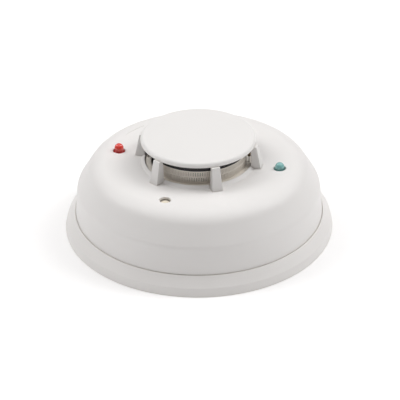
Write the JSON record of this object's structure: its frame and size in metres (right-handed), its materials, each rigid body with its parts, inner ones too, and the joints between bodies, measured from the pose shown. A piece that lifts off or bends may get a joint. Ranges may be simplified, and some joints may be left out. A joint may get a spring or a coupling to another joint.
{
  "type": "heat detector",
  "caption": "Low round ceiling detector head with a raised vent cap, thermistors and two indicator domes, on a twist-on mounting base.",
  "frame": {"origin": "centre of the base's mounting face", "axes": "+Z out of the mounting face towards the vent cap; -Y is the front, with the test hole on the front left"},
  "size_m": [0.1346, 0.1346, 0.0508],
  "materials": {
    "base_shell": "fine moulded texture, off-white",
    "cover_shell": "fine moulded texture, off-white",
    "housing_shell": "smooth moulded, off-white",
    "terminal_metal": "stamped, tin-plated brass",
    "blade_metal": "stamped, plated brass",
    "screw_steel": "zinc plated",
    "board_green": "solder mask over glass fibre",
    "chamber_black": "black, light-absorbing",
    "screen_cream": "cream moulded screen",
    "emitter_clear": "clear blue-tinted epoxy",
    "diode_black": "dark infrared filter epoxy",
    "thermistor_bead": "coated bead on thin leads",
    "led_green": "tinted clear epoxy, unlit",
    "led_red": "tinted clear epoxy, unlit",
    "spacer_white": "moulded spacer",
    "chip_black": "moulded epoxy package",
    "relay_case": "moulded case",
    "capacitor_can": "sleeved can",
    "suppressor_blue": "dipped coating",
    "chip_parts": "small surface parts",
    "switch_case": "switch",
    "button_beige": "moulded beige"
  },
  "bodies": {
    "base": {"mounting_base": "base_shell", "terminal_plate_1": "terminal_metal", "terminal_plate_2": "terminal_metal", "terminal_plate_3": "terminal_metal", "terminal_plate_4": "terminal_metal", "terminal_plate_5": "terminal_metal", "terminal_screws": "screw_steel", "terminal_washers": "screw_steel"},
    "head": {"lower_housing": "housing_shell", "circuit_board": "board_green", "board_screws": "screw_steel", "contact_blade_1": "blade_metal", "contact_blade_2": "blade_metal", "contact_blade_3": "blade_metal", "contact_blade_4": "blade_metal", "contact_blade_5": "blade_metal", "chamber_base": "chamber_black", "chamber_cover": "chamber_black", "insect_screen": "screen_cream", "ir_emitter": "emitter_clear", "photodiode": "diode_black", "thermistor_right": "thermistor_bead", "thermistor_left": "thermistor_bead", "green_led": "led_green", "red_led": "led_red", "led_spacers": "spacer_white", "microcontroller": "chip_black", "alarm_relay": "relay_case", "capacitors": "capacitor_can", "surge_suppressor": "suppressor_blue", "chip_parts": "chip_parts", "switch_body": "switch_case"},
    "cover": {"front_cover": "cover_shell", "vent_cap": "cover_shell"},
    "test_plunger": {"test_button": "button_beige", "switch_stem": "switch_case"}
  },
  "joints": [
    {"name": "head_twist", "type": "hinge", "parent": "base", "child": "head", "pos_m": [0, 0, 0], "axis": [0, 0, 1], "range_deg": [0, 18]},
    {"name": "cover_release", "type": "slide", "parent": "head", "child": "cover", "axis": [0, 0, 1], "range_m": [0, 0.05]},
    {"name": "button_press", "type": "slide", "parent": "head", "child": "test_plunger", "axis": [0, 0, -1], "range_m": [0, 0.0005], "stiffness_N_per_m": 2500, "springref_m": -0.0003}
  ]
}
